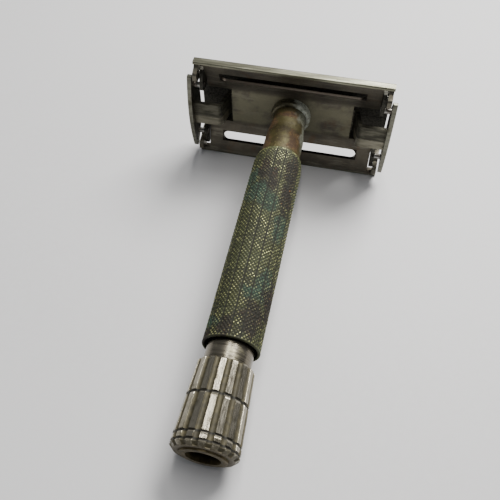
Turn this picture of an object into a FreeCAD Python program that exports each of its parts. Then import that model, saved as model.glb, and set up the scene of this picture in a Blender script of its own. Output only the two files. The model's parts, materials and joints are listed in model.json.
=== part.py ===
"""Twist-to-open double-edge safety razor, doors closed, lying on its guard and knob.

Every piece is drawn standing on the knob's end: Z runs along the handle towards the
head, X along the head and Y across it, in millimetres. At the end the whole razor is
laid down, so that the guard's lower lip and the knob's rim both touch the ground, and
moved so that the origin is the bottom centre of its bounding box.
"""
import FreeCAD, Part
import math
import os

V = FreeCAD.Vector
UP = V(0, 0, 1)
ALONG = V(1, 0, 0)

# Head
HEAD_LENGTH = 42.0          # guard and doors, along X
HEAD_DEPTH = 26.0           # lip to lip, along Y
LIP_Z = 74.3                # lower edge of the guard's lips
TRAY_DEPTH = 2.75           # how far the middle of the guard is set back from its lips
SHEET = 0.7                 # guard sheet thickness
FLAT_HALF = 5.35            # half width of the flat middle of the guard
CREASE_R = 5.0              # the flat middle runs into the wings with this radius
LIP_WIDTH = 0.85
LIP_TOP = LIP_Z + 1.8
SLOT_Y = 8.6                # middle of each drain slot
SLOT_WIDTH = 2.3
SLOT_LENGTH = 31.2
NOTCH_X = 13.5              # the guard's end notches start here
NOTCH_HALF = 4.8
CORNER_X = 18.85            # outside this, only lips and ears are left of the guard
CORNER_Y = 12.1

# Doors
DOOR_TOP = 80.5
DOOR_RADIUS = 29.0          # dome of the closed doors
DOOR_SHEET = 0.55
DOOR_EDGE_Y = 9.4           # a blade's edges stand out 1.6 mm past the doors
DOOR_GAP = 0.12             # between the closed doors
LUG_X = 19.0                # inner face of the hinge lugs
LUG_SHEET = 0.75

# Opening mechanism
TRAVEL = 5.0                # lift of the carriage
DOOR_SWING = 62.0           # degrees that a door turns while the carriage lifts
PIVOT = (6.8, 74.8)         # door pivot, Y and Z, doors closed
HEEL = (10.0, 75.1)         # heel pin, Y and Z, doors closed
PIVOT_R = 0.6
PIVOT_END_X = 18.95         # inner end of the pivot pins, clear of the guard's corner cuts
HEEL_R = 0.4
RUN = 0.05                  # radial running clearance of pins and shafts
EAR_X = 19.9
EAR_SHEET = 0.95
SLOT_PLAY = 0.1
END_PLATE_X = 21.2
END_PLATE_SHEET = 0.9
END_TIP_Y = 10.1            # blunt tips of the end plates
END_TIP_Z = (73.0, 73.8)
END_MIDDLE_Z = (71.5, 78.3)
RIVET_R = 1.2               # joins the stem to the centre bar
BAR_HALF = 2.9              # half width of the centre bar and its arms
BAR_Z = 77.85
BAR_SHEET = 0.8
ARM_Z = 73.1
TENON_HALF = 1.3

# Handle
GRIP_R = 5.15
GRIP_BORE_R = 4.6
GRIP_Z = 18.5
SHOULDER_Z = 59.2
GRIP_TOP = 62.6
NECK_R = 4.15
NECK_TOP_R = 3.7
NECK_Z = 57.5
NECK_TAPER_Z = (69.0, 73.0)
COLLAR_R = 4.5
COLLAR_Z = 75.2
NECK_BORE_R = 2.5
TENON_R = 3.2

# Knob and spindle
KNOB_RIM_R = 5.7
KNOB_RIM_Z = 0.95
KNOB_TOP_R = 5.0
KNOB_TOP_Z = 15.0
KNOB_FACE_Z = 0.3
FLUTES = 16
FLUTE_R = 0.5
GROOVES_Z = (1.3, 2.55, 9.0)
GROOVE_WIDTH = 0.35
GROOVE_DEPTH = 0.3
CORE_R = 4.0
CORE_BORE_R = 2.9
CORE_SEAT_R = 2.5           # the spindle's head fills the core's bore above the end hole
CORE_TOP = 12.0
HOLE_DEPTH = 8.0
SLEEVE_R = 4.15
SLEEVE_TOP = 22.0
ROD_R = 1.9
ROD_TOP = 58.0
SCREW_R = 1.5
SCREW_Z = 56.0
SCREW_TOP = 74.0
STEM_Z = 61.0
STEM_R = NECK_BORE_R - RUN

GUARD_UNDER = LIP_Z + TRAY_DEPTH
GUARD_TOP = GUARD_UNDER + SHEET
HALF_LENGTH = HEAD_LENGTH / 2
HALF_DEPTH = HEAD_DEPTH / 2
TILT = math.degrees(math.atan((HALF_DEPTH - KNOB_RIM_R) / (LIP_Z - KNOB_RIM_Z)))


def ring(outer_r, inner_r, z0, z1):
    tube = Part.makeCylinder(outer_r, z1 - z0, V(0, 0, z0), UP)
    return tube.cut(Part.makeCylinder(inner_r, z1 - z0 + 2, V(0, 0, z0 - 1), UP))


def turned(points):
    """Solid of revolution about Z from a closed outline of (radius, z) points."""
    outline = [V(r, 0, z) for r, z in points]
    face = Part.Face(Part.makePolygon(outline + outline[:1]))
    return face.revolve(V(0, 0, 0), UP, 360)


def box(x0, x1, y0, y1, z0, z1):
    return Part.makeBox(x1 - x0, y1 - y0, z1 - z0, V(x0, y0, z0))


def across(points, x0, x1):
    """Prism along X from a closed outline of (y, z) points."""
    outline = [V(x0, y, z) for y, z in points]
    return Part.Face(Part.makePolygon(outline + outline[:1])).extrude(V(x1 - x0, 0, 0))


def rod_x(radius, y, z, x0, x1):
    return Part.makeCylinder(radius, x1 - x0, V(x0, y, z), ALONG)


def mirrored_x(shape):
    return shape.mirror(V(0, 0, 0), V(1, 0, 0))


def mirrored_y(shape):
    return shape.mirror(V(0, 0, 0), V(0, 1, 0))


def both_ends(shape):
    return Part.makeCompound([shape, mirrored_x(shape)])


def four_corners(shape):
    pair = [shape, mirrored_x(shape)]
    return pair + [mirrored_y(s) for s in pair]


def rounded(shape, radius, chosen):
    """Fillet the straight edges whose middle point passes the test."""
    edges = [e for e in shape.Edges if chosen(e.CenterOfMass, e)]
    return shape.makeFillet(radius, edges)


def runs_along(edge, axis):
    if not isinstance(edge.Curve, Part.Line):
        return False
    return abs(edge.Curve.Direction.dot(axis)) > 0.999


# ---- handle and guard -------------------------------------------------------------

def grip_tube():
    foot = 0.35
    steps = 8
    shoulder = []
    for i in range(steps + 1):
        turn = math.radians(90 * i / steps)
        r = NECK_R + 0.25 + (GRIP_R - NECK_R - 0.25) * math.cos(turn)
        shoulder.append((r, SHOULDER_Z + (GRIP_TOP - SHOULDER_Z) * math.sin(turn)))
    outside = [(GRIP_BORE_R, GRIP_Z), (GRIP_R - foot, GRIP_Z), (GRIP_R, GRIP_Z + foot)]
    inside = [(NECK_R, GRIP_TOP), (NECK_R, NECK_Z), (GRIP_BORE_R, NECK_Z)]
    return turned(outside + shoulder + inside)


def neck_tube():
    taper0, taper1 = NECK_TAPER_Z
    outside = [(NECK_R, NECK_Z), (NECK_R, taper0), (NECK_TOP_R, taper1)]
    tenon = [(NECK_TOP_R, GUARD_UNDER), (TENON_R, GUARD_UNDER), (TENON_R, GUARD_TOP)]
    bore = [(NECK_BORE_R, GUARD_TOP), (NECK_BORE_R, NECK_Z)]
    return turned(outside + tenon + bore)


def neck_collar():
    collar = ring(COLLAR_R, NECK_TOP_R, COLLAR_Z, GUARD_UNDER)
    return rounded(collar, 0.4, lambda m, e: m.z < COLLAR_Z + 0.01 and e.Length > 25)


def drain_slot():
    end_x = SLOT_LENGTH / 2 - SLOT_WIDTH / 2
    half = SLOT_WIDTH / 2
    z0 = LIP_Z - 1
    slot = box(-end_x, end_x, SLOT_Y - half, SLOT_Y + half, z0, z0 + 6)
    for x in (-end_x, end_x):
        slot = slot.fuse(Part.makeCylinder(half, 6, V(x, SLOT_Y, z0), UP))
    return slot


def guard_section():
    """One half of the guard's cross-section, from the middle of its underside."""
    slope = (TRAY_DEPTH - 0.35) / (HALF_DEPTH - LIP_WIDTH - FLAT_HALF)
    foot_y = HALF_DEPTH - LIP_WIDTH
    under = [(FLAT_HALF, GUARD_UNDER), (foot_y, LIP_Z + 0.35), (foot_y + 0.3, LIP_Z)]
    lip = [(HALF_DEPTH, LIP_Z), (HALF_DEPTH, LIP_TOP), (foot_y, LIP_TOP)]
    top_y = foot_y - 0.25
    top = [(top_y, GUARD_TOP - slope * (top_y - FLAT_HALF)), (FLAT_HALF, GUARD_TOP)]
    return under, lip + top


def cam_slot():
    """Path of the heel pin in an ear while the carriage lifts and the door turns."""
    dy = HEEL[0] - PIVOT[0]
    dz = HEEL[1] - PIVOT[1]
    steps = 14
    x0 = EAR_X - 1
    x1 = EAR_X + EAR_SHEET + 1
    radius = HEEL_R + SLOT_PLAY
    cut = None
    last = None
    for i in range(steps + 1):
        turn = math.radians(DOOR_SWING * i / steps)
        y = PIVOT[0] + dy * math.cos(turn) + dz * math.sin(turn)
        z = PIVOT[1] - dy * math.sin(turn) + dz * math.cos(turn) + TRAVEL * i / steps
        hole = rod_x(radius, y, z, x0, x1)
        cut = hole if cut is None else cut.fuse(hole)
        if last is not None:
            run = V(0, y - last[0], z - last[1])
            side = run.cross(ALONG).normalize() * radius
            a, b = V(0, *last), V(0, y, z)
            corners = [a + side, b + side, b - side, a - side]
            cut = cut.fuse(across([(c.y, c.z) for c in corners], x0, x1))
        last = (y, z)
    return cut


def ear():
    """Corner ear: carries the heel pin's slot and points down beside the handle."""
    outline = [(7.75, 77.85), (7.75, 76.4), (8.6, 74.9), (9.0, 72.7), (10.9, 72.7),
               (11.6, 74.2), (12.5, 74.9), (12.5, 75.3), (11.0, 75.75), (10.3, 76.3),
               (9.5, 77.2), (9.2, 77.85)]
    plate = across(outline, EAR_X, EAR_X + EAR_SHEET)
    plate = rounded(plate, 0.7, lambda m, e: runs_along(e, ALONG) and m.z < 73)
    return plate.cut(cam_slot())


def guard_plate():
    under, over = guard_section()
    far = [(-y, z) for y, z in reversed(over)] + [(-y, z) for y, z in reversed(under)]
    plate = across(under + over + far, -HALF_LENGTH, HALF_LENGTH)
    lip_edge = HALF_DEPTH - 0.01
    plate = rounded(plate, 0.3, lambda m, e: runs_along(e, ALONG) and abs(m.y) > lip_edge)
    plate = rounded(plate, CREASE_R, lambda m, e: abs(abs(m.y) - FLAT_HALF) < 0.01)
    cuts = [drain_slot(), mirrored_y(drain_slot())]
    z0, z1 = LIP_Z - 1, GUARD_TOP + 1
    notch = box(NOTCH_X, HALF_LENGTH + 1, -NOTCH_HALF, NOTCH_HALF, z0, z1)
    corner = box(CORNER_X, HALF_LENGTH + 1, -CORNER_Y, CORNER_Y, z0, z1)
    cuts += [notch, mirrored_x(notch), corner, mirrored_x(corner)]
    cuts.append(Part.makeCylinder(TENON_R, 9, V(0, 0, LIP_Z), UP))
    plate = plate.cut(cuts)
    return plate.fuse(four_corners(ear())).removeSplitter()


def rod_bush():
    return ring(GRIP_BORE_R, ROD_R + RUN, 22.6, 26.0)


def neck_bush():
    return ring(GRIP_BORE_R, ROD_R + RUN, 55.0, NECK_Z)


# ---- knob and spindle -------------------------------------------------------------

def knob_radius(z):
    share = (z - KNOB_RIM_Z) / (KNOB_TOP_Z - KNOB_RIM_Z)
    return KNOB_RIM_R + (KNOB_TOP_R - KNOB_RIM_R) * share


def knob_shell():
    shoulder = 0.35
    neck_z = CORE_TOP
    shell = turned([
        (CORE_R, KNOB_FACE_Z), (KNOB_RIM_R - 0.75, KNOB_FACE_Z),
        (KNOB_RIM_R, KNOB_RIM_Z), (knob_radius(KNOB_TOP_Z - shoulder), KNOB_TOP_Z - shoulder),
        (KNOB_TOP_R - shoulder, KNOB_TOP_Z), (SLEEVE_R, KNOB_TOP_Z), (SLEEVE_R, neck_z),
        (CORE_R, neck_z)])
    axis_r = 0.12
    foot = V(knob_radius(0) + axis_r, 0, -1)
    lean = V(knob_radius(KNOB_TOP_Z) - knob_radius(0), 0, KNOB_TOP_Z)
    flute = Part.makeCylinder(FLUTE_R, KNOB_TOP_Z + 3, foot, lean)
    cuts = []
    for i in range(FLUTES):
        cutter = flute.copy()
        cutter.rotate(V(0, 0, 0), UP, 360 * (i + 0.5) / FLUTES + 90)
        cuts.append(cutter)
    half = GROOVE_WIDTH / 2
    for z in GROOVES_Z:
        cuts.append(ring(KNOB_RIM_R + 1, knob_radius(z) - GROOVE_DEPTH, z - half, z + half))
    return shell.cut(cuts)


def knob_core():
    return ring(CORE_R, CORE_BORE_R, 0, HOLE_DEPTH).fuse(
        ring(CORE_R, CORE_SEAT_R, HOLE_DEPTH, CORE_TOP)).removeSplitter()


def knob_sleeve():
    return ring(SLEEVE_R, ROD_R, CORE_TOP, SLEEVE_TOP)


def drive_rod():
    head = Part.makeCylinder(CORE_SEAT_R, CORE_TOP - HOLE_DEPTH, V(0, 0, HOLE_DEPTH), UP)
    rod = head.fuse(Part.makeCylinder(ROD_R, ROD_TOP - CORE_TOP, V(0, 0, CORE_TOP), UP))
    socket = Part.makeCylinder(SCREW_R, ROD_TOP - SCREW_Z, V(0, 0, SCREW_Z), UP)
    return rod.cut(socket).removeSplitter()


def drive_screw():
    return Part.makeCylinder(SCREW_R, SCREW_TOP - SCREW_Z, V(0, 0, SCREW_Z), UP)


def thrust_washer():
    return ring(3.9, ROD_R, SLEEVE_TOP, 22.5)


def retaining_ring():
    return ring(3.1, ROD_R, 26.1, 27.0)


# ---- carriage ---------------------------------------------------------------------

def stem_nut():
    stem = Part.makeCylinder(STEM_R, BAR_Z - STEM_Z, V(0, 0, STEM_Z), UP)
    rivet = Part.makeCylinder(RIVET_R, BAR_SHEET, V(0, 0, BAR_Z), UP)
    bore = Part.makeCylinder(SCREW_R + RUN, 14.5, V(0, 0, STEM_Z), UP)
    return stem.fuse(rivet).cut(bore).removeSplitter()


def centre_bar():
    """Blade bar whose ends dip through the guard's notches and run out as arms."""
    half = BAR_SHEET / 2
    leg_top = 14.3
    leg_foot = 15.5
    lean = math.atan((leg_foot - leg_top) / (BAR_Z - ARM_Z))
    shift = half * math.tan((math.pi / 2 - lean) / 2)
    out = END_PLATE_X
    top = [(leg_top + shift, BAR_Z + BAR_SHEET), (leg_foot + shift, ARM_Z + BAR_SHEET),
           (out, ARM_Z + BAR_SHEET)]
    under = [(out, ARM_Z), (leg_foot - shift, ARM_Z), (leg_top - shift, BAR_Z)]
    side = top + under
    outline = side + [(-x, z) for x, z in reversed(side)]
    points = [V(x, -BAR_HALF, z) for x, z in outline]
    face = Part.Face(Part.makePolygon(points + points[:1]))
    bar = face.extrude(V(0, 2 * BAR_HALF, 0))
    across_y = V(0, 1, 0)
    bends = ((leg_top + shift, BAR_Z + BAR_SHEET, 1.1), (leg_foot - shift, ARM_Z, 1.1),
             (leg_foot + shift, ARM_Z + BAR_SHEET, 0.4), (leg_top - shift, BAR_Z, 0.4))
    for x, z, radius in bends:
        bar = rounded(bar, radius, lambda m, e: runs_along(e, across_y)
                      and math.hypot(abs(m.x) - x, m.z - z) < 0.05)
    tenon = box(out, out + END_PLATE_SHEET, -TENON_HALF, TENON_HALF, ARM_Z, ARM_Z + BAR_SHEET)
    bar = bar.fuse([tenon, mirrored_x(tenon)])
    return bar.cut(Part.makeCylinder(RIVET_R, 3, V(0, 0, BAR_Z - 1), UP)).removeSplitter()


def blade_ribs():
    top = BAR_Z + BAR_SHEET
    rib = box(4.6, 12.4, -0.5, 0.5, top, top + 0.55)
    rib = rounded(rib, 0.45, lambda m, e: runs_along(e, UP))
    return both_ends(rib)


def end_plate():
    """Lens-shaped plate across the end of the head, with blunt tips."""
    x = END_PLATE_X
    low, high = END_TIP_Z
    a, b = V(x, -END_TIP_Y, low), V(x, END_TIP_Y, low)
    c, d = V(x, END_TIP_Y, high), V(x, -END_TIP_Y, high)
    under = Part.Arc(a, V(x, 0, END_MIDDLE_Z[0]), b).toShape()
    over = Part.Arc(c, V(x, 0, END_MIDDLE_Z[1]), d).toShape()
    sides = [Part.makeLine(b, c), Part.makeLine(d, a)]
    wire = Part.Wire([under, sides[0], over, sides[1]])
    plate = Part.Face(wire).extrude(V(END_PLATE_SHEET, 0, 0))
    plate = rounded(plate, 0.3, lambda m, e: runs_along(e, ALONG))
    cuts = [rod_x(PIVOT_R, side * PIVOT[0], PIVOT[1], x - 1, x + 2) for side in (-1, 1)]
    cuts.append(box(x - 1, x + 2, -TENON_HALF, TENON_HALF, ARM_Z, ARM_Z + BAR_SHEET))
    return plate.cut(cuts)


def pivot_pins():
    pin = rod_x(PIVOT_R, PIVOT[0], PIVOT[1], PIVOT_END_X, END_PLATE_X + END_PLATE_SHEET)
    return both_ends(pin)


# ---- doors ------------------------------------------------------------------------

def dome_z(y, radius):
    return DOOR_TOP - DOOR_RADIUS + math.sqrt(radius ** 2 - y ** 2)


def door_shell():
    outer, inner = DOOR_RADIUS, DOOR_RADIUS - DOOR_SHEET
    y0 = DOOR_GAP / 2
    y1 = DOOR_EDGE_Y
    x = -HALF_LENGTH
    mid = y1 / 2
    top = [V(x, y, dome_z(y, outer)) for y in (y0, mid, y1)]
    low = [V(x, y, dome_z(y, inner)) for y in (y1, mid, y0)]
    edges = [Part.Arc(*top).toShape(), Part.makeLine(top[2], low[0]),
             Part.Arc(*low).toShape(), Part.makeLine(low[2], top[0])]
    shell = Part.Face(Part.Wire(edges)).extrude(V(HEAD_LENGTH, 0, 0))
    outer_edge = y1 - 0.01
    shell = rounded(shell, 0.15, lambda m, e: runs_along(e, ALONG) and m.y > outer_edge)
    lug = hinge_lug()
    return shell.fuse([lug, mirrored_x(lug)]).removeSplitter()


def hinge_lug():
    """End lug of a door: turns on the pivot pin and carries the heel pin."""
    py, pz = PIVOT
    hy, hz = HEEL
    outline = [(py - 1.15, pz - 0.5), (py - 0.5, pz - 1.15), (hy, hz - 0.75),
               (hy + 0.7, hz), (hy + 0.5, hz + 1.2), (DOOR_EDGE_Y, 77.6),
               (DOOR_EDGE_Y - 0.1, 78.7), (py - 1.15, 79.6)]
    lug = across(outline, LUG_X, LUG_X + LUG_SHEET)
    lug = rounded(lug, 0.5, lambda m, e: runs_along(e, ALONG) and m.z < hz + 0.1)
    return lug.cut(rod_x(PIVOT_R + RUN, py, pz, LUG_X - 1, LUG_X + 2))


def heel_pins():
    pin = rod_x(HEEL_R, HEEL[0], HEEL[1], LUG_X + LUG_SHEET, EAR_X + EAR_SHEET - 0.05)
    return both_ends(pin)


# ---- the razor --------------------------------------------------------------------

def razor():
    plate = end_plate()
    shell = door_shell()
    heels = heel_pins()
    pivots = pivot_pins()
    return {
        "grip_tube": grip_tube(),
        "neck_tube": neck_tube(),
        "neck_collar": neck_collar(),
        "guard_plate": guard_plate(),
        "rod_bush": rod_bush(),
        "neck_bush": neck_bush(),
        "knob_shell": knob_shell(),
        "knob_core": knob_core(),
        "knob_sleeve": knob_sleeve(),
        "drive_rod": drive_rod(),
        "drive_screw": drive_screw(),
        "thrust_washer": thrust_washer(),
        "retaining_ring": retaining_ring(),
        "stem_nut": stem_nut(),
        "centre_bar": centre_bar(),
        "blade_ribs": blade_ribs(),
        "right_end_plate": plate,
        "left_end_plate": mirrored_x(plate),
        "upper_pivot_pins": mirrored_y(pivots),
        "lower_pivot_pins": pivots,
        "upper_door": mirrored_y(shell),
        "lower_door": shell,
        "upper_heel_pins": mirrored_y(heels),
        "lower_heel_pins": heels,
    }


def lay_down(shape):
    laid = shape.copy()
    laid.rotate(V(0, 0, 0), ALONG, TILT - 90)
    return laid


def main():
    os.makedirs("parts", exist_ok=True)
    pieces = {name: lay_down(shape) for name, shape in razor().items()}
    room = Part.makeCompound(list(pieces.values())).optimalBoundingBox(False, False)
    shift = V(-room.Center.x, -room.Center.y, -room.ZMin)
    for name, shape in pieces.items():
        shape.translate(shift)
        shape.exportStep(f"parts/{name}.step")
        if not shape.isValid():
            print("not valid:", name)
    print("tilt", round(TILT, 5), "shift", [round(v, 5) for v in shift])
    print("size", [round(v, 3) for v in (room.XLength, room.YLength, room.ZLength)])


main()
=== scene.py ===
"""A worn twist-to-open safety razor lying on a pale table, seen from the knob's end."""
import json
import math

import bpy
import numpy as np
from mathutils import Matrix, Vector


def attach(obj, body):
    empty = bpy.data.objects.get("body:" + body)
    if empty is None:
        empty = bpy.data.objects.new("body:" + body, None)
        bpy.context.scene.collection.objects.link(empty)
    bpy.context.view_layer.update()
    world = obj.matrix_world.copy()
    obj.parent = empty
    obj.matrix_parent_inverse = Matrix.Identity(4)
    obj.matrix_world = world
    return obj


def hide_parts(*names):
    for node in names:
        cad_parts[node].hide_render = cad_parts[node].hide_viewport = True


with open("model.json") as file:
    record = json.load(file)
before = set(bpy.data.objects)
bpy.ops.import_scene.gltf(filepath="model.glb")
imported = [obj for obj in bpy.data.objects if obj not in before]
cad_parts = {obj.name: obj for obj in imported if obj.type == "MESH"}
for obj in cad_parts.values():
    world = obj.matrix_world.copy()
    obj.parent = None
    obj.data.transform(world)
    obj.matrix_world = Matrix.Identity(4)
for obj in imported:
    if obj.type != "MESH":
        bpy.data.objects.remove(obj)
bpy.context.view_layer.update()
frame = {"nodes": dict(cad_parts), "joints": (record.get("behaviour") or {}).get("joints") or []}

MM = 0.001

# ---- the standing frame -------------------------------------------------------------
# Pieces are drawn as if the razor stood on its knob: Z up the handle, X along the head
# and Y across it, in millimetres. LAY turns that into the frame's own place.

turn_joint = next(j for j in frame["joints"] if j["name"] == "knob_turn")
handle_up = -Vector(turn_joint["axis"])
head_right = Vector((1, 0, 0))
head_across = handle_up.cross(head_right)
LAY = Matrix((head_right, head_across, handle_up)).transposed().to_4x4()
LAY = Matrix.Translation(Vector(turn_joint["pos_m"])) @ LAY @ Matrix.Scale(MM, 4)
STAND = LAY.inverted()


def stand_box(node):
    """Lowest and highest corner of a CAD node in the standing frame, in millimetres."""
    points = np.array([STAND @ v.co for v in frame["nodes"][node].data.vertices])
    return points.min(0), points.max(0)


def node_radius(node):
    low, high = stand_box(node)
    return (high[0] - low[0]) / 2


# ---- mesh helpers -------------------------------------------------------------------

def smooth_noise(rng, shape, cells):
    """Random field on a grid, periodic along its second axis, between -1 and 1."""
    rows, cols = shape
    table = rng.uniform(-1, 1, (cells[0] + 2, cells[1]))
    r = np.linspace(0, cells[0], rows)
    c = np.arange(cols) * cells[1] / cols
    ri, ci = np.floor(r).astype(int), np.floor(c).astype(int)
    rf, cf = r - ri, c - ci
    rf, cf = rf * rf * (3 - 2 * rf), cf * cf * (3 - 2 * cf)
    c2 = (ci + 1) % cells[1]
    low = table[ri][:, ci] * (1 - cf) + table[ri][:, c2] * cf
    high = table[ri + 1][:, ci] * (1 - cf) + table[ri + 1][:, c2] * cf
    return low * (1 - rf[:, None]) + high * rf[:, None]


def tube_mesh(name, radius, height, attributes=None):
    """Mesh of a grid wrapped round Z: rows of points at radius and height, in mm.

    radius and height are arrays of rows by columns. The last row joins the first, as on a
    ring with an inside and an outside.
    """
    rows, cols = radius.shape
    angle = np.arange(cols) * 2 * math.pi / cols
    x = radius * np.cos(angle)
    y = radius * np.sin(angle)
    points = np.stack([x, y, height], axis=-1).reshape(-1, 3)
    matrix = np.array(LAY)
    points = points @ matrix[:3, :3].T + matrix[:3, 3]
    below = np.arange(rows * cols).reshape(rows, cols)
    above = np.roll(below, -1, axis=0)
    quads = np.stack([below, np.roll(below, -1, axis=1),
                      np.roll(above, -1, axis=1), above], axis=-1).reshape(-1, 4)
    mesh = bpy.data.meshes.new(name)
    mesh.vertices.add(len(points))
    mesh.vertices.foreach_set("co", points.ravel())
    mesh.loops.add(quads.size)
    mesh.loops.foreach_set("vertex_index", quads.ravel())
    mesh.polygons.add(len(quads))
    mesh.polygons.foreach_set("loop_start", np.arange(len(quads)) * 4)
    mesh.update(calc_edges=True)
    mesh.validate()
    for key, values in (attributes or {}).items():
        layer = mesh.attributes.new(key, "FLOAT", "POINT")
        layer.data.foreach_set("value", values.ravel().astype(np.float32))
    return mesh


def add_piece(name, mesh, body, node, material, smooth_angle=35):
    """Adds a piece that rides on a body and stands for one CAD node."""
    piece = bpy.data.objects.new(name, mesh)
    bpy.context.scene.collection.objects.link(piece)
    mesh.materials.append(material)
    mesh.polygons.foreach_set("use_smooth", [True] * len(mesh.polygons))
    if smooth_angle < 180:
        mesh.set_sharp_from_angle(angle=math.radians(smooth_angle))
    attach(piece, body)
    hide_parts(node)


def outline_rows(points, step):
    """Points round a closed outline of (radius, z), at most step apart."""
    rows = []
    for (r0, z0), (r1, z1) in zip(points, points[1:] + points[:1]):
        count = max(1, math.ceil(math.hypot(r1 - r0, z1 - z0) / step))
        for i in range(count):
            rows.append((r0 + (r1 - r0) * i / count, z0 + (z1 - z0) * i / count))
    return np.array(rows)


def arc(centre, radius, start, end, count):
    """Points of an arc in the (radius, z) plane, angles in degrees."""
    angles = [math.radians(start + (end - start) * i / count) for i in range(count + 1)]
    return [(centre[0] + radius * math.cos(a), centre[1] + radius * math.sin(a))
            for a in angles]


# ---- material helpers ---------------------------------------------------------------

def around(angle, radius, z):
    """A point on the handle; angle 0 is its top as it lies, 90 its right side."""
    a = math.radians(angle)
    return (radius * math.sin(a), -radius * math.cos(a), z)


class Graph:
    """Short forms for building one material's nodes."""

    def __init__(self, name):
        self.material = bpy.data.materials.new(name)
        self.material.use_nodes = True
        self.nodes = self.material.node_tree.nodes
        self.links = self.material.node_tree.links
        self.shader = self.nodes["Principled BSDF"]
        coords = self.nodes.new("ShaderNodeTexCoord")
        mapping = self.nodes.new("ShaderNodeMapping")
        location, rotation, scale = STAND.decompose()
        mapping.inputs["Location"].default_value = location
        mapping.inputs["Rotation"].default_value = rotation.to_euler("XYZ")
        mapping.inputs["Scale"].default_value = scale
        self.links.new(coords.outputs["Object"], mapping.inputs["Vector"])
        self.place = mapping.outputs["Vector"]
        split = self.nodes.new("ShaderNodeSeparateXYZ")
        self.links.new(self.place, split.inputs[0])
        self.x, self.y, self.z = split.outputs

    def feed(self, socket, value):
        if isinstance(value, bpy.types.NodeSocket):
            self.links.new(value, socket)
        elif isinstance(value, (tuple, list)) and len(value) == 3 and socket.type == "RGBA":
            socket.default_value = (*value, 1)
        else:
            socket.default_value = value

    def math(self, operation, a, b=0.0):
        node = self.nodes.new("ShaderNodeMath")
        node.operation = operation
        self.feed(node.inputs[0], a)
        self.feed(node.inputs[1], b)
        return node.outputs[0]

    def ramp(self, value, low, high, to_low=0.0, to_high=1.0):
        node = self.nodes.new("ShaderNodeMapRange")
        node.interpolation_type = "SMOOTHSTEP"
        self.feed(node.inputs["Value"], value)
        node.inputs["From Min"].default_value = low
        node.inputs["From Max"].default_value = high
        node.inputs["To Min"].default_value = to_low
        node.inputs["To Max"].default_value = to_high
        return node.outputs["Result"]

    def mix(self, fac, a, b):
        node = self.nodes.new("ShaderNodeMix")
        node.data_type = "RGBA"
        self.feed(node.inputs["Factor"], fac)
        self.feed(node.inputs["A"], a)
        self.feed(node.inputs["B"], b)
        return node.outputs["Result"]

    def lerp(self, fac, a, b):
        node = self.nodes.new("ShaderNodeMix")
        node.data_type = "FLOAT"
        self.feed(node.inputs["Factor"], fac)
        self.feed(node.inputs["A"], a)
        self.feed(node.inputs["B"], b)
        return node.outputs["Result"]

    def stretched(self, stretch):
        node = self.nodes.new("ShaderNodeVectorMath")
        node.operation = "MULTIPLY"
        self.links.new(self.place, node.inputs[0])
        node.inputs[1].default_value = stretch
        return node.outputs[0]

    def noise(self, size, detail=4.0, rough=0.55, stretch=None):
        """Noise with features of about that many millimetres."""
        node = self.nodes.new("ShaderNodeTexNoise")
        node.inputs["Scale"].default_value = 1 / size
        node.inputs["Detail"].default_value = detail
        node.inputs["Roughness"].default_value = rough
        self.links.new(self.stretched(stretch) if stretch else self.place,
                       node.inputs["Vector"])
        return node.outputs["Fac"]

    def blob(self, centre, size, edge):
        """1 near a point and 0 away from it, with a ragged edge given by a noise.

        size holds the half sizes along X, Y and Z in millimetres.
        """
        node = self.nodes.new("ShaderNodeVectorMath")
        node.operation = "SUBTRACT"
        self.links.new(self.place, node.inputs[0])
        node.inputs[1].default_value = centre
        scaled = self.nodes.new("ShaderNodeVectorMath")
        scaled.operation = "DIVIDE"
        self.links.new(node.outputs[0], scaled.inputs[0])
        scaled.inputs[1].default_value = size
        length = self.nodes.new("ShaderNodeVectorMath")
        length.operation = "LENGTH"
        self.links.new(scaled.outputs[0], length.inputs[0])
        rough = self.math("ADD", length.outputs["Value"],
                          self.math("MULTIPLY", self.math("SUBTRACT", edge, 0.5), 2.4))
        return self.ramp(rough, 1.15, 0.65)

    def most(self, values):
        result = values[0]
        for value in values[1:]:
            result = self.math("MAXIMUM", result, value)
        return result

    def patches(self, spots, radius, edge):
        """Blobs on the handle from a table of angle, height and half sizes."""
        return self.most([self.blob(around(angle, radius, z), size, edge)
                          for angle, z, size in spots])

    def attribute(self, name):
        node = self.nodes.new("ShaderNodeAttribute")
        node.attribute_name = name
        return node.outputs["Fac"]

    def bump(self, height, depth):
        """depth is how deep a full step of height is, in millimetres."""
        node = self.nodes.new("ShaderNodeBump")
        node.inputs["Strength"].default_value = 1.0
        node.inputs["Distance"].default_value = depth * MM
        self.links.new(height, node.inputs["Height"])
        self.links.new(node.outputs["Normal"], self.shader.inputs["Normal"])

    def finish(self, colour, metallic, roughness):
        self.feed(self.shader.inputs["Base Color"], colour)
        self.feed(self.shader.inputs["Metallic"], metallic)
        self.feed(self.shader.inputs["Roughness"], roughness)
        return self.material


# ---- colours, linear ----------------------------------------------------------------

NICKEL_DULL = (0.20, 0.185, 0.145)
# dark tarnish, also used as painted shade along the guard's crease
TARNISH_AND_SHADE = (0.075, 0.066, 0.052)
TARNISH_WARM = (0.13, 0.085, 0.052)
BROWN = (0.060, 0.028, 0.014)
# near black, for pits and for painted shade in gaps and slot walls
GRIME_AND_SHADE = (0.018, 0.014, 0.010)

# ---- patches on the grip: angle, height along the handle, half sizes ----------------

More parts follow.
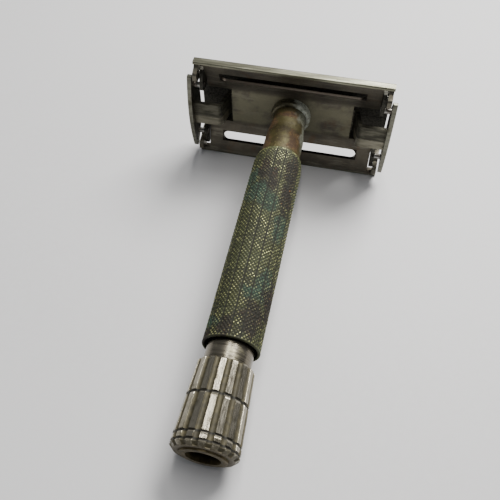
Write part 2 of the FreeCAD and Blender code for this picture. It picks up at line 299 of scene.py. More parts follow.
GRIP_SURFACE = 5.1
TEAL_PATCHES = [
    (-25, 50.0, (3.0, 3.0, 2.8)), (12, 47.6, (2.3, 2.2, 2.2)), (-50, 54.5, (2.6, 2.6, 2.6)),
    (48, 43.5, (1.8, 1.8, 3.4)), (45, 29.5, (2.4, 2.0, 3.6)), (18, 27.8, (1.9, 1.7, 1.6)),
    (-60, 21.5, (2.8, 2.8, 1.4)), (150, 38.0, (4.0, 4.0, 5.4)),
    (-140, 29.0, (3.0, 3.0, 4.4)), (110, 53.0, (2.6, 2.6, 3.6)),
]
DARK_PATCHES = [
    (48, 57.0, (2.2, 2.0, 5.2)), (48, 50.5, (1.8, 1.6, 6.0)), (5, 54.0, (1.2, 0.9, 3.8)),
    (-22, 56.0, (1.7, 1.2, 3.2)), (35, 23.0, (3.2, 2.2, 3.8)), (70, 27.5, (1.9, 2.2, 4.0)),
    (-15, 20.5, (1.5, 1.2, 2.0)), (-70, 19.0, (2.2, 2.2, 1.8)),
    (170, 55.0, (3.4, 2.8, 4.6)), (-120, 44.0, (2.2, 2.4, 5.0)),
]

# ---- materials ----------------------------------------------------------------------

def grip_material():
    g = Graph("grip_tarnish")
    peak = g.attribute("peak")
    ragged = g.noise(2.2, 6, 0.65)
    fine = g.noise(0.5, 5, 0.6)
    broad = g.noise(7, 4, 0.6)
    streak = g.noise(2.0, 4, 0.6, stretch=(1, 1, 0.2))

    ground = g.mix(g.ramp(streak, 0.38, 0.62), (0.052, 0.056, 0.018), (0.024, 0.026, 0.010))
    ground = g.mix(g.ramp(broad, 0.35, 0.7), ground, (0.062, 0.072, 0.026))
    ground = g.mix(g.ramp(fine, 0.54, 0.70), ground, (0.13, 0.14, 0.050))

    teal = g.patches(TEAL_PATCHES, GRIP_SURFACE, ragged)
    dark = g.patches(DARK_PATCHES, GRIP_SURFACE, ragged)
    specks = g.ramp(g.noise(1.1, 6, 0.7), 0.60, 0.68)
    teal = g.math("MAXIMUM", teal, g.math("MULTIPLY", specks, 0.45))

    green = g.mix(g.ramp(fine, 0.42, 0.66), (0.014, 0.038, 0.027), (0.048, 0.105, 0.068))
    green = g.mix(g.ramp(g.noise(0.9, 5, 0.6), 0.56, 0.70), green, (0.10, 0.19, 0.13))
    green = g.mix(g.ramp(g.noise(1.5, 5, 0.65), 0.52, 0.66), green, (0.008, 0.020, 0.020))
    brown = g.mix(g.ramp(g.noise(1.4, 5, 0.65), 0.48, 0.70),
                  (0.010, 0.006, 0.004), (0.040, 0.023, 0.012))
    brown = g.mix(g.ramp(g.noise(0.6, 5, 0.65), 0.62, 0.70), brown, (0.19, 0.080, 0.020))

    colour = g.mix(g.math("MULTIPLY", teal, 0.82), ground, green)
    colour = g.mix(g.math("MULTIPLY", dark, 0.93), colour, brown)
    # dark grime in the knurl's valleys; the bore's inside, whose peak value is 0, is painted near
    # black as painted shade
    valley_grime_and_bore_shade = g.ramp(peak, 0.50, 0.12)
    colour = g.mix(g.math("MULTIPLY", valley_grime_and_bore_shade, 0.9), colour, (0.010, 0.010, 0.005))
    patchy = g.math("MULTIPLY", g.ramp(g.noise(0.75, 3, 0.6), 0.47, 0.58),
                    g.ramp(g.noise(3.0, 4, 0.6), 0.30, 0.56))
    rubbed = g.math("MULTIPLY", g.ramp(peak, 0.52, 0.80), patchy)
    covered = g.math("MAXIMUM", g.math("MULTIPLY", dark, 0.72), g.math("MULTIPLY", teal, 0.45))
    worn = g.math("MULTIPLY", rubbed, g.math("SUBTRACT", 1.0, covered))
    colour = g.mix(g.math("MULTIPLY", worn, 0.9), colour, (0.46, 0.46, 0.20))

    corroded = g.math("MAXIMUM", g.math("MULTIPLY", teal, 0.9), g.math("MULTIPLY", dark, 0.7))
    matt = g.math("MAXIMUM", corroded, valley_grime_and_bore_shade)
    metallic = g.lerp(matt, g.lerp(worn, 0.3, 0.6), 0.04)
    roughness = g.lerp(matt, g.lerp(worn, g.ramp(fine, 0.3, 0.7, 0.55, 0.7), 0.32), 0.85)
    grit = g.math("ADD", g.math("MULTIPLY", fine, 0.7),
                  g.math("MULTIPLY", g.noise(0.18, 3), 0.5))
    g.bump(grit, 0.05)
    return g.finish(colour, metallic, roughness)


def neck_material():
    g = Graph("neck_brass")
    ragged = g.noise(1.8, 6, 0.65)
    fine = g.noise(0.45, 5, 0.6)
    olive = g.mix(g.ramp(g.noise(2.6, 5, 0.6), 0.36, 0.66),
                  (0.046, 0.034, 0.011), (0.095, 0.080, 0.026))
    olive = g.mix(g.ramp(fine, 0.56, 0.74), olive, (0.17, 0.145, 0.060))
    stains = g.most([
        g.blob(around(-55, 4.0, 70.5), (1.7, 2.0, 2.6), ragged),
        g.blob(around(-62, 4.1, 65.5), (1.8, 1.8, 3.0), ragged),
        g.blob(around(40, 4.1, 66.0), (2.0, 1.8, 3.0), ragged),
        g.blob(around(0, 3.8, 73.2), (3.2, 1.6, 1.0), ragged),
        g.blob(around(160, 4.1, 67.0), (3.0, 3.0, 4.0), ragged)])
    brown = g.mix(g.ramp(g.noise(1.0, 5, 0.65), 0.4, 0.66), BROWN, (0.15, 0.085, 0.03))
    colour = g.mix(g.math("MULTIPLY", stains, 0.8), olive, brown)
    crust = g.most([
        g.blob(around(62, 3.9, 74.0), (2.2, 2.4, 2.4), ragged),
        g.blob(around(78, 4.2, 69.0), (1.8, 1.8, 4.0), ragged),
        g.blob(around(-130, 4.0, 73.0), (2.4, 2.4, 1.8), ragged)])
    pale = g.mix(g.ramp(fine, 0.35, 0.65), (0.12, 0.13, 0.09), (0.27, 0.28, 0.23))
    colour = g.mix(g.math("MULTIPLY", crust, 0.72), colour, pale)
    colour = g.mix(g.ramp(g.noise(0.35, 4, 0.7), 0.64, 0.72), colour, (0.30, 0.26, 0.17))
    rough = g.lerp(g.math("MAXIMUM", stains, crust), g.ramp(fine, 0.3, 0.7, 0.50, 0.68), 0.8)
    metallic = g.lerp(g.math("MAXIMUM", crust, g.math("MULTIPLY", stains, 0.8)), 0.4, 0.08)
    g.bump(g.math("ADD", fine, g.math("MULTIPLY", crust, 0.6)), 0.05)
    return g.finish(colour, metallic, rough)


def collar_material():
    g = Graph("collar_deposit")
    fine = g.noise(0.4, 5, 0.65)
    ragged = g.noise(1.6, 6, 0.65)
    colour = g.mix(g.ramp(g.noise(1.5, 5, 0.6), 0.38, 0.62),
                   (0.055, 0.050, 0.026), (0.13, 0.12, 0.075))
    crust = g.most([g.blob(around(55, 4.4, 75.8), (3.6, 3.6, 2.6), ragged),
                    g.blob(around(130, 4.4, 75.8), (3.2, 2.6, 1.6), ragged)])
    pale = g.mix(g.ramp(fine, 0.35, 0.62), (0.22, 0.23, 0.18), (0.46, 0.48, 0.41))
    colour = g.mix(g.math("MULTIPLY", crust, 0.95), colour, pale)
    colour = g.mix(g.ramp(g.noise(0.7, 4, 0.7), 0.60, 0.70), colour, TARNISH_AND_SHADE)
    g.bump(fine, 0.08)
    return g.finish(colour, g.lerp(crust, 0.75, 0.1), g.lerp(crust, 0.45, 0.8))


def knob_material():
    g = Graph("knob_nickel")
    depth = g.attribute("depth")
    fine = g.noise(0.35, 5, 0.6)
    brushed = g.noise(0.5, 4, 0.6, stretch=(3.0, 3.0, 0.25))
    clean = g.mix(g.ramp(brushed, 0.3, 0.7), (0.29, 0.265, 0.205), (0.40, 0.37, 0.295))
    clean = g.mix(g.ramp(g.noise(2.6, 5, 0.6), 0.50, 0.70), clean, (0.16, 0.145, 0.10))
    spots = g.ramp(g.noise(0.55, 5, 0.7), 0.64, 0.71)
    clean = g.mix(spots, clean, (0.06, 0.05, 0.028))
    dirt = g.mix(g.ramp(g.noise(0.9, 5, 0.65), 0.35, 0.65),
                 (0.032, 0.027, 0.012), (0.080, 0.068, 0.031))
    edge = g.math("ADD", depth, g.math("MULTIPLY", g.math("SUBTRACT", fine, 0.5), 0.35))
    in_groove = g.ramp(edge, 0.12, 0.42)
    foot = g.math("MULTIPLY", g.ramp(g.z, 1.5, 0.75),
                  g.ramp(g.noise(0.8, 5, 0.65), 0.36, 0.56))
    dirty = g.math("MAXIMUM", in_groove, g.math("MULTIPLY", foot, 0.85))
    colour = g.mix(g.math("MULTIPLY", dirty, 0.94), clean, dirt)
    face = g.ramp(g.z, 0.48, 0.36)
    dull = g.mix(g.ramp(fine, 0.35, 0.65), (0.085, 0.070, 0.044), (0.15, 0.13, 0.088))
    colour = g.mix(g.math("MULTIPLY", face, 0.85), colour, dull)
    deep = g.attribute("ring")
    colour = g.mix(g.math("MULTIPLY", deep, 0.93), colour, (0.010, 0.009, 0.005))
    matt = g.math("MAXIMUM", dirty, g.math("MAXIMUM", deep, g.math("MULTIPLY", face, 0.8)))
    roughness = g.lerp(matt, g.ramp(brushed, 0.3, 0.7, 0.15, 0.25), 0.6)
    g.bump(g.math("ADD", brushed, g.math("MULTIPLY", fine, 0.5)), 0.012)
    return g.finish(colour, g.lerp(matt, 0.95, 0.35), roughness)


def sleeve_material():
    g = Graph("sleeve_nickel")
    rings = g.noise(0.32, 3, 0.5, stretch=(0.05, 0.05, 1.0))
    fine = g.noise(0.4, 5, 0.6)
    clean = g.mix(g.ramp(rings, 0.3, 0.7), (0.155, 0.138, 0.105), (0.205, 0.185, 0.145))
    clean = g.mix(g.ramp(g.noise(2.4, 5, 0.6), 0.55, 0.75), clean, (0.36, 0.33, 0.22))
    low = g.math("MULTIPLY", g.ramp(g.z, 16.2, 15.0), g.ramp(g.noise(1.0, 5), 0.35, 0.65))
    # painted shade: near black from z 18 up, where the sleeve runs into the grip's shaded end
    high = g.ramp(g.z, 18.0, 18.9)
    colour = g.mix(g.math("MULTIPLY", low, 0.6), clean, (0.09, 0.08, 0.04))
    colour = g.mix(g.math("MULTIPLY", high, 0.9), colour, GRIME_AND_SHADE)
    g.bump(g.math("ADD", rings, g.math("MULTIPLY", fine, 0.25)), 0.018)
    return g.finish(colour, 0.95, g.ramp(rings, 0.3, 0.7, 0.22, 0.33))


def core_material():
    g = Graph("core_brass")
    fine = g.noise(0.4, 5, 0.65)
    brass = g.mix(g.ramp(g.noise(1.3, 5, 0.6), 0.36, 0.64),
                  (0.075, 0.058, 0.028), (0.16, 0.13, 0.068))
    brass = g.mix(g.ramp(fine, 0.58, 0.72), brass, (0.04, 0.03, 0.015))
    # painted shade: the core is painted near black above its bottom ring, where it runs up inside
    # the knob
    colour = g.mix(g.ramp(g.z, 0.3, 1.4), brass, (0.006, 0.005, 0.003))
    g.bump(fine, 0.03)
    return g.finish(colour, 0.8, g.ramp(fine, 0.3, 0.7, 0.34, 0.55))


DOME_RADIUS = 29.0          # outside of the closed doors
DOME_AXIS_Z = 51.5          # height of the dome's axis along the handle
SLOT_MIDDLE = 8.6           # drain slots of the guard, across the head
SLOT_HALF = 1.15


def guard_material():
    g = Graph("guard_tarnish")
    fine = g.noise(0.45, 5, 0.6)
    broad = g.noise(5.5, 5, 0.6)
    long_marks = g.noise(0.9, 5, 0.6, stretch=(0.12, 1, 1))
    side = g.math("ABSOLUTE", g.y)
    tarnish = g.mix(g.ramp(broad, 0.35, 0.68), (0.095, 0.086, 0.068), (0.14, 0.125, 0.095))
    tarnish = g.mix(g.ramp(long_marks, 0.5, 0.7), tarnish, NICKEL_DULL)
    warm = g.ramp(g.noise(3.0, 5, 0.6), 0.55, 0.7)
    tarnish = g.mix(g.math("MULTIPLY", warm, 0.5), tarnish, TARNISH_WARM)
    middle = g.math("MULTIPLY", g.ramp(side, 5.6, 4.2), g.ramp(g.noise(4.0, 5), 0.3, 0.6))
    colour = g.mix(g.math("MULTIPLY", middle, 0.75), tarnish, (0.24, 0.23, 0.155))
    # painted shade: a darker band along the crease between the guard's middle and its wings
    crease_shade = g.math("MULTIPLY", g.ramp(side, 3.9, 4.8), g.ramp(side, 6.4, 5.0))
    colour = g.mix(g.math("MULTIPLY", crease_shade, 0.45), colour, TARNISH_AND_SHADE)
    lip_edge = g.math("ADD", side, g.math("MULTIPLY", g.math("SUBTRACT", fine, 0.5), 0.35))
    lip = g.ramp(lip_edge, 12.35, 12.6)
    pale = g.mix(g.ramp(long_marks, 0.4, 0.7), (0.15, 0.147, 0.105), (0.30, 0.295, 0.22))
    pale = g.mix(g.ramp(g.noise(1.2, 5, 0.7), 0.6, 0.72), pale, (0.10, 0.095, 0.055))
    colour = g.mix(lip, colour, pale)
    brim = g.math("MULTIPLY", lip, g.ramp(g.z, 75.72, 75.95))
    colour = g.mix(g.math("MULTIPLY", brim, 0.8), colour, TARNISH_AND_SHADE)
    end_x = g.math("ABSOLUTE", g.x)
    ends = g.math("MULTIPLY", g.ramp(end_x, 19.6, 20.0), g.ramp(fine, 0.35, 0.6))
    colour = g.mix(g.math("MULTIPLY", ends, 0.5), colour, (0.15, 0.145, 0.11))
    off_slot = g.math("ABSOLUTE", g.math("SUBTRACT", side, SLOT_MIDDLE))
    # painted shade: the walls of the drain slots are painted near black
    slot_wall_shade = g.math("MULTIPLY", g.ramp(off_slot, SLOT_HALF + 0.12, SLOT_HALF + 0.04),
                       g.ramp(end_x, 15.9, 15.7))
    colour = g.mix(slot_wall_shade, colour, GRIME_AND_SHADE)
    pits = g.ramp(g.noise(0.5, 5, 0.75), 0.66, 0.72)
    colour = g.mix(g.math("MULTIPLY", pits, 0.8), colour, GRIME_AND_SHADE)
    roughness = g.lerp(lip, g.ramp(fine, 0.3, 0.7, 0.34, 0.52), 0.3)
    grain = g.math("ADD", g.math("MULTIPLY", long_marks, 0.6), g.math("MULTIPLY", fine, 0.4))
    g.bump(grain, 0.025)
    return g.finish(colour, 0.85, roughness)


def worn_metal(name, base, dirt, dirt_amount):
    g = Graph(name)
    fine = g.noise(0.4, 5, 0.6)
    marks = g.noise(0.7, 5, 0.6, stretch=(0.2, 1, 1))
    colour = g.mix(g.ramp(marks, 0.35, 0.68), base, tuple(v * 0.68 for v in base))
    stain = g.ramp(g.noise(2.2, 6, 0.65), 0.62 - 0.2 * dirt_amount, 0.72)
    colour = g.mix(g.math("MULTIPLY", stain, 0.8), colour, dirt)
    pits = g.ramp(g.noise(0.45, 5, 0.75), 0.66, 0.72)
    colour = g.mix(pits, colour, GRIME_AND_SHADE)
    roughness = g.lerp(stain, g.ramp(fine, 0.3, 0.7, 0.26, 0.42), 0.55)
    g.bump(g.math("ADD", marks, g.math("MULTIPLY", fine, 0.5)), 0.02)
    return g.finish(colour, 0.9, roughness)


def door_material():
    """Rubbed nickel on the outside of the doors, dark tarnish inside and on their lugs."""
    g = Graph("door_nickel")
    fine = g.noise(0.4, 5, 0.6)
    marks = g.noise(0.7, 5, 0.6, stretch=(0.2, 1, 1))
    clean = g.mix(g.ramp(marks, 0.35, 0.68), (0.30, 0.29, 0.235), (0.20, 0.195, 0.155))
    stain = g.ramp(g.noise(2.2, 6, 0.65), 0.52, 0.70)
    clean = g.mix(g.math("MULTIPLY", stain, 0.75), clean, (0.12, 0.11, 0.085))
    pits = g.ramp(g.noise(0.45, 5, 0.75), 0.66, 0.72)
    clean = g.mix(pits, clean, GRIME_AND_SHADE)
    dark = g.mix(g.ramp(fine, 0.35, 0.65), (0.022, 0.021, 0.015), (0.070, 0.066, 0.050))
    rise = g.math("SUBTRACT", g.z, DOME_AXIS_Z)
    reach = g.math("SQRT", g.math("ADD", g.math("MULTIPLY", rise, rise),
                                  g.math("MULTIPLY", g.y, g.y)))
    inner = g.ramp(reach, DOME_RADIUS - 0.2, DOME_RADIUS - 0.3)
    colour = g.mix(inner, clean, dark)
    rough = g.lerp(stain, g.ramp(fine, 0.3, 0.7, 0.2, 0.34), 0.5)
    g.bump(g.math("ADD", marks, g.math("MULTIPLY", fine, 0.5)), 0.02)
    return g.finish(colour, g.lerp(inner, 0.9, 0.5), g.lerp(inner, rough, 0.6))


def arm_material():
    """The blade bar and its arms: tarnished, with a painted highlight along their lower side,
    where light from above falls.
    """
    g = Graph("arm_nickel")
    fine = g.noise(0.4, 5, 0.6)
    marks = g.noise(0.7, 5, 0.6, stretch=(0.2, 1, 1))
    rubbed = g.mix(g.ramp(marks, 0.35, 0.68), (0.24, 0.225, 0.17), (0.15, 0.14, 0.10))
    tarnish = g.mix(g.ramp(marks, 0.38, 0.66), (0.045, 0.042, 0.030), (0.12, 0.115, 0.085))
    # painted highlight: the pale colour named rubbed is laid on a band along the lower side,
    # standing for light from above
    side = g.math("ADD", g.y, g.math("MULTIPLY", g.math("SUBTRACT", fine, 0.5), 0.5))
    painted_highlight_band = g.math("MULTIPLY", g.ramp(side, 0.5, 0.8), g.ramp(g.z, 77.0, 76.0))
    colour = g.mix(painted_highlight_band, tarnish, rubbed)
    pits = g.ramp(g.noise(0.45, 5, 0.75), 0.66, 0.72)
    colour = g.mix(pits, colour, GRIME_AND_SHADE)
    g.bump(g.math("ADD", marks, g.math("MULTIPLY", fine, 0.5)), 0.02)
    return g.finish(colour, 0.75, g.lerp(painted_highlight_band, 0.5, 0.34))


# ---- pieces that stand for CAD nodes ------------------------------------------------

BANDS = 16
BAND_COLUMNS = 16           # mesh columns in one band
KNURL_COLUMNS = 12          # of them, those that carry the knurl
KNURL_PITCH = 0.80          # along the handle
KNURL_DEPTH = 0.20
RING_LINES = 5              # plain lines round the grip
RING_LINE_WIDTH = 0.17      # half width
VALLEY_LEVEL = 0.10         # 1 is the top of the knurl and 0 its bottom
RING_LINE_LEVEL = 0.3
FOOT_ROUND = 0.27
SIDE_START = 0.4            # the knurl starts this far above the grip's foot
SHOULDER = 3.4              # length of the rounded shoulder
GRIP_BORE = 4.6
SKIN_WAVE = 0.025


def grip_piece():
    low, high = stand_box("grip_tube")
    z0, z1 = low[2], high[2]
    outer = node_radius("grip_tube")
    neck = node_radius("neck_tube")
    shoulder_z = z1 - SHOULDER
    top_r = neck + 0.25
    step = KNURL_PITCH / 6
    foot = arc((outer - FOOT_ROUND, z0 + FOOT_ROUND), FOOT_ROUND, 180, 360, 6)
    straight = int((shoulder_z - z0 - SIDE_START) / step)
    side = [(outer, z0 + SIDE_START + step * i) for i in range(straight + 1)]
    crown = [(top_r + (outer - top_r) * math.cos(a), shoulder_z + SHOULDER * math.sin(a))
             for a in np.linspace(0, math.pi / 2, 26)[1:]]
    lining = [(neck + 0.02, z1 - 0.1), (neck + 0.02, z1 - 1.2),
              (GRIP_BORE, z0 + 4.0), (GRIP_BORE, z0 + SIDE_START)]
    profile = np.array(foot + side + crown + lining)
    rows, cols = len(profile), BANDS * BAND_COLUMNS
    column = np.arange(cols) % BAND_COLUMNS
    on_band = column <= KNURL_COLUMNS
    across = column / 6.0
    along = (profile[:, 1] - z0 - SIDE_START) / KNURL_PITCH

    def saw(value):
        return np.abs((value % 1) * 2 - 1)

    a = along[:, None] + across[None, :]
    b = along[:, None] - across[None, :]
    diamond = 1 - np.maximum(1 - saw(a), 1 - saw(b))
    diamond = np.clip(diamond * 1.15, 0, 1)
    peak = np.where(on_band[None, :], diamond, VALLEY_LEVEL)
    line_gap = (shoulder_z - z0) / (RING_LINES + 0.4)
    for i in range(RING_LINES):
        near = np.abs(profile[:, 1] - (z0 + line_gap * (i + 0.75)))
        peak = np.where((near < RING_LINE_WIDTH)[:, None],
                        np.minimum(peak, RING_LINE_LEVEL), peak)
    is_side = np.zeros(rows)
    is_side[len(foot):len(foot) + len(side) + len(crown)] = 1
    fade = is_side * np.clip((z1 - 0.25 - profile[:, 1]) / 0.8, 0, 1)
    rng = np.random.default_rng(5)
    shape = (rows, cols)
    wear = smooth_noise(rng, shape, (60, 44)) * 0.5 + smooth_noise(rng, shape, (18, 14)) * 0.5
    depth = KNURL_DEPTH * (1 + 0.25 * wear) * fade[:, None]
    radius = profile[:, 0][:, None] - depth * (1 - peak)
    radius = radius - SKIN_WAVE * (1 + smooth_noise(rng, shape, (30, 16))) * fade[:, None]
    # painted shade: the bore's inside gets peak value 0, which the material paints near black
    inside = (1 - is_side) * (profile[:, 1] > z0 + 0.28)
    shade = np.where(fade[:, None] > 0, 1 - (1 - peak) * fade[:, None], 0.36)
    shade = np.where(inside[:, None] > 0, 0.0, shade)
    height = np.repeat(profile[:, 1][:, None], cols, axis=1)
    mesh = tube_mesh("knurled_grip", radius, height, {"peak": shade})
    add_piece("knurled_grip", mesh, "handle", "grip_tube",
              grip_material(), smooth_angle=180)


TURNED_COLUMNS = 128        # mesh columns round the neck and its ring
NECK_FOOT = 60.0            # inside the grip
NECK_TOP = 76.9             # inside the neck ring
NECK_BORE = 2.5


def neck_piece():
    wide = node_radius("neck_tube")
    narrow = wide - 0.45
    points = [(wide, NECK_FOOT), (wide, 68.4), (wide - 0.06, 69.2), (narrow + 0.08, 72.4),
              (narrow, 73.3), (narrow, NECK_TOP), (NECK_BORE, NECK_TOP), (NECK_BORE, NECK_FOOT)]
    rows = outline_rows(points, 0.16)
    cols = TURNED_COLUMNS
    rng = np.random.default_rng(8)
    shape = (len(rows), cols)
    lumps = smooth_noise(rng, shape, (26, 18)) * 0.5 + smooth_noise(rng, shape, (60, 42)) * 0.5
    outside = (rows[:, 0] > narrow - 0.05)[:, None]
    radius = rows[:, 0][:, None] - 0.045 * (lumps + 1) * outside
    height = np.repeat(rows[:, 1][:, None], cols, axis=1)
    mesh = tube_mesh("neck", radius, height)
    add_piece("neck", mesh, "handle", "neck_tube", neck_material())


RING_HOLE = 3.72            # the neck ring's hole, 0.02 clear of the neck


def collar_piece():
    low, high = stand_box("neck_collar")
    outer = node_radius("neck_collar")
    z0, z1 = low[2], high[2]
    hole = RING_HOLE
    points = [(hole, z0), (outer - 0.55, z0)]
    points += arc((outer - 0.5, z0 + 0.5), 0.5, 270, 360, 6)
    points += [(outer, z1), (hole, z1)]
    rows = outline_rows(points, 0.12)
    cols = TURNED_COLUMNS
    rng = np.random.default_rng(3)
    shape = (len(rows), cols)
    lumps = smooth_noise(rng, shape, (10, 20)) * 0.6 + smooth_noise(rng, shape, (26, 50)) * 0.4
    outside = (rows[:, 0] > hole + 0.05)[:, None]
    radius = rows[:, 0][:, None] - 0.08 * (lumps + 1) * outside
    height = np.repeat(rows[:, 1][:, None], cols, axis=1)
    height = height + 0.10 * (lumps + 1) * (height < z0 + 0.2) * outside
    mesh = tube_mesh("neck_ring", radius, height)
    add_piece("neck_ring", mesh, "handle", "neck_collar",
              collar_material())


FLUTES = 16
FLUTE_COLUMNS = 26          # mesh columns to one flute and one land
LAND_SHARE = 0.50           # of that, the land's share
FLUTE_DEPTH = 0.40
RING_GROOVES = (1.3, 2.55, 9.0)
RING_GROOVE_WIDTH = 0.34
RING_GROOVE_DEPTH = 0.26
KNOB_RIM_R = 5.7
KNOB_TOP_R = 5.0
KNOB_CHAMFER = 0.65         # height of the chamfer at the knob's foot


def knob_piece():
    low, high = stand_box("knob_shell")
    z0, z1 = low[2], high[2]
    rim_z = z0 + KNOB_CHAMFER
    core = node_radius("knob_core")
    sleeve = node_radius("knob_sleeve")
    side_z = [rim_z]
    while side_z[-1] < z1 - 0.4:
        z = side_z[-1]
        near = min(abs(z - g) for g in RING_GROOVES)
        side_z.append(z + (0.045 if near < 0.3 else 0.3))
    taper = (KNOB_TOP_R - KNOB_RIM_R) / (z1 - rim_z)
    side = [(KNOB_RIM_R + taper * (z - rim_z), z) for z in side_z]
    chamfer = [(KNOB_RIM_R - 0.75 + 0.75 * t, z0 + KNOB_CHAMFER * t)
               for t in np.linspace(0, 0.92, 7)]
    crown = arc((side[-1][0] - 0.34, side[-1][1]), 0.34, 12, 90, 5)
    profile = [(core + 0.02, z0 + 0.04), (core + 0.08, z0)] + chamfer + side + crown
    profile += [(sleeve + 0.02, crown[-1][1]), (sleeve + 0.02, z1 - 2.0), (core + 0.02, z1 - 2.2)]
    profile = np.array(profile)
    rows, cols = len(profile), FLUTES * FLUTE_COLUMNS
    angle = np.arange(cols) * 2 * math.pi / cols
    pitch = 2 * math.pi / FLUTES
    phase = ((angle + math.pi / 2 + pitch / 2) % pitch) / pitch - 0.5
    half_land = LAND_SHARE / 2
    half_flute = 0.5 - half_land
    from_flute = np.clip((0.5 - np.abs(phase)) / half_flute, 0, 1)
    bowl = np.sqrt(np.clip(1 - from_flute ** 2, 0, 1))
    across_land = (np.abs(phase) / half_land).clip(0, 1)
    flatten = (1 - np.cos(half_land * pitch)) * (1 - across_land ** 2)
    flat = profile[:, 0][:, None] * flatten
    cut = FLUTE_DEPTH * bowl[None, :] * np.ones((rows, 1))
    z = profile[:, 1]
    outer_side = np.zeros(rows, bool)
    face_rows = 2
    outer_side[face_rows:face_rows + len(chamfer) + len(side) + len(crown)] = True
    face_fade = np.clip((profile[:, 0] - (KNOB_RIM_R - 0.70)) / 0.22, 0, 1)
    amount = np.where(outer_side, np.where(z < rim_z, face_fade, 1.0), 0.0)
    ring = np.zeros(rows)
    for groove in RING_GROOVES:
        across = np.clip((np.abs(z - groove) - RING_GROOVE_WIDTH / 2) / 0.05, 0, 1)
        ring = np.maximum(ring, 1 - across)
    ring = ring * outer_side
    groove_cut = (RING_GROOVE_DEPTH * ring)[:, None] * np.ones((1, cols))
    total = np.maximum(cut * amount[:, None], groove_cut) + flat * amount[:, None]
    rng = np.random.default_rng(12)
    dents = smooth_noise(rng, (rows, cols), (12, 40)) * 0.012
    radius = profile[:, 0][:, None] - total - np.abs(dents) * amount[:, None]
    radius = np.where(outer_side[:, None], np.maximum(radius, sleeve + 0.15), radius)
    depth = (cut * amount[:, None]) / FLUTE_DEPTH
    ring_shade = np.repeat(ring[:, None], cols, axis=1)
    height = np.repeat(z[:, None], cols, axis=1)
    mesh = tube_mesh("fluted_knob", radius, height, {"depth": depth, "ring": ring_shade})
    add_piece("fluted_knob", mesh, "knob", "knob_shell",
              knob_material(), smooth_angle=40)


# ---- CAD nodes that keep their shape ------------------------------------------------

def soften(node, width):
    """Rounds a CAD node's sharp edges by modifiers only; its mesh stays as packed."""
    piece = frame["nodes"][node]
    flat = piece.modifiers.new("merge_flats", "DECIMATE")
    flat.decimate_type = "DISSOLVE"
    flat.angle_limit = math.radians(2)
    bevel = piece.modifiers.new("round_edges", "BEVEL")
    bevel.width = width * MM
    bevel.segments = 2
    bevel.limit_method = "ANGLE"
    bevel.angle_limit = math.radians(35)
    bevel.use_clamp_overlap = True
    bevel.harden_normals = True


def paint(node, material):
    mesh = frame["nodes"][node].data
    mesh.materials.clear()
    mesh.materials.append(material)


def finish_cad_nodes():
    guard = guard_material()
    plates = worn_metal("end_plate_nickel", (0.17, 0.167, 0.132), (0.07, 0.066, 0.04), 0.6)
    doors = door_material()
    arms = arm_material()
    steel = worn_metal("pin_steel", (0.42, 0.41, 0.38), TARNISH_WARM, 0.7)
    brass = worn_metal("inner_brass", (0.42, 0.33, 0.14), TARNISH_WARM, 0.5)
    looks = {
        "guard_plate": (guard, 0.10), "right_end_plate": (plates, 0.14),
        "left_end_plate": (plates, 0.14), "upper_door": (doors, 0.10),
        "lower_door": (doors, 0.10), "centre_bar": (arms, 0.14), "blade_ribs": (arms, 0.08),
        "upper_pivot_pins": (steel, 0.05), "lower_pivot_pins": (steel, 0.05),
        "upper_heel_pins": (steel, 0.05), "lower_heel_pins": (steel, 0.05),
        "rod_bush": (brass, 0.05), "neck_bush": (brass, 0.05), "drive_rod": (brass, 0.05),
        "drive_screw": (steel, 0.05), "thrust_washer": (steel, 0.05),
        "retaining_ring": (steel, 0.05), "stem_nut": (brass, 0.05),
        "knob_sleeve": (sleeve_material(), 0.1), "knob_core": (core_material(), 0.12),
    }
    for node, (material, width) in looks.items():
        paint(node, material)
        soften(node, width)


# ---- table, light and camera --------------------------------------------------------

TABLE_HALF = 1.5            # metres


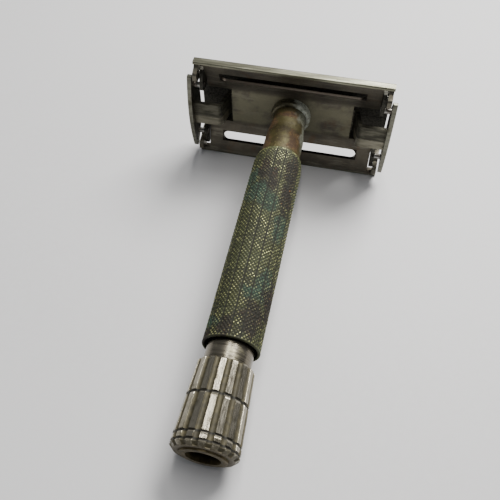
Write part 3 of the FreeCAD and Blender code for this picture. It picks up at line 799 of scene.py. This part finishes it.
def table():
    g = Graph("table_paper")
    grain = g.noise(1.2, 5, 0.6)
    cloud = g.noise(160, 3, 0.5)
    base = g.mix(g.ramp(cloud, 0.3, 0.7), (0.66, 0.655, 0.66), (0.70, 0.70, 0.71))
    colour = g.mix(g.ramp(grain, 0.3, 0.7), base, (0.68, 0.68, 0.685))
    g.bump(grain, 0.01)
    material = g.finish(colour, 0.0, 0.55)
    mesh = bpy.data.meshes.new("table_top")
    half = TABLE_HALF
    corners = [(-half, -half, 0), (half, -half, 0), (half, half, 0), (-half, half, 0)]
    mesh.from_pydata(corners, [], [(0, 1, 2, 3)])
    mesh.materials.append(material)
    floor = bpy.data.objects.new("table_top", mesh)
    bpy.context.scene.collection.objects.link(floor)


def area_light(name, place, target, size, power, colour):
    data = bpy.data.lights.new(name, "AREA")
    data.shape = "RECTANGLE"
    data.size, data.size_y = size
    data.energy = power
    data.color = colour
    lamp = bpy.data.objects.new(name, data)
    bpy.context.scene.collection.objects.link(lamp)
    lamp.location = place
    lamp.rotation_euler = (Vector(target) - Vector(place)).to_track_quat("-Z", "Y").to_euler()


def lights():
    world = bpy.data.worlds.new("studio")
    world.use_nodes = True
    background = world.node_tree.nodes["Background"]
    background.inputs["Color"].default_value = (0.82, 0.84, 0.88, 1)
    background.inputs["Strength"].default_value = 0.27
    bpy.context.scene.world = world
    area_light("window", place=(0.12, 0.26, 0.34), target=(0, 0.03, 0),
               size=(0.24, 0.20), power=3.5, colour=(1.0, 0.985, 0.96))
    area_light("ceiling", place=(-0.02, 0.09, 0.62), target=(0, -0.02, 0),
               size=(0.05, 0.5), power=1.5, colour=(1.0, 0.98, 0.95))


LENS = 43.2                 # on a sensor 36 mm wide
# In the standing frame, so that the view stays with the razor.
CAMERA_PLACE = (13.283, -94.088, -22.849)
CAMERA_RIGHT = (0.9770, 0.0093, 0.2133)
CAMERA_AHEAD = (-0.1271, 0.8278, 0.5465)


def camera():
    data = bpy.data.cameras.new("camera")
    data.lens = LENS
    data.sensor_width = 36.0
    data.clip_start = 0.005
    eye = bpy.data.objects.new("camera", data)
    bpy.context.scene.collection.objects.link(eye)
    lay = LAY.to_3x3()
    ahead = (lay @ Vector(CAMERA_AHEAD)).normalized()
    right = (lay @ Vector(CAMERA_RIGHT)).normalized()
    up = right.cross(ahead)
    turn = Matrix((right, up, -ahead)).transposed()
    eye.matrix_world = Matrix.Translation(LAY @ Vector(CAMERA_PLACE)) @ turn.to_4x4()
    bpy.context.scene.camera = eye


grip_piece()
neck_piece()
collar_piece()
knob_piece()
finish_cad_nodes()
table()
lights()
camera()
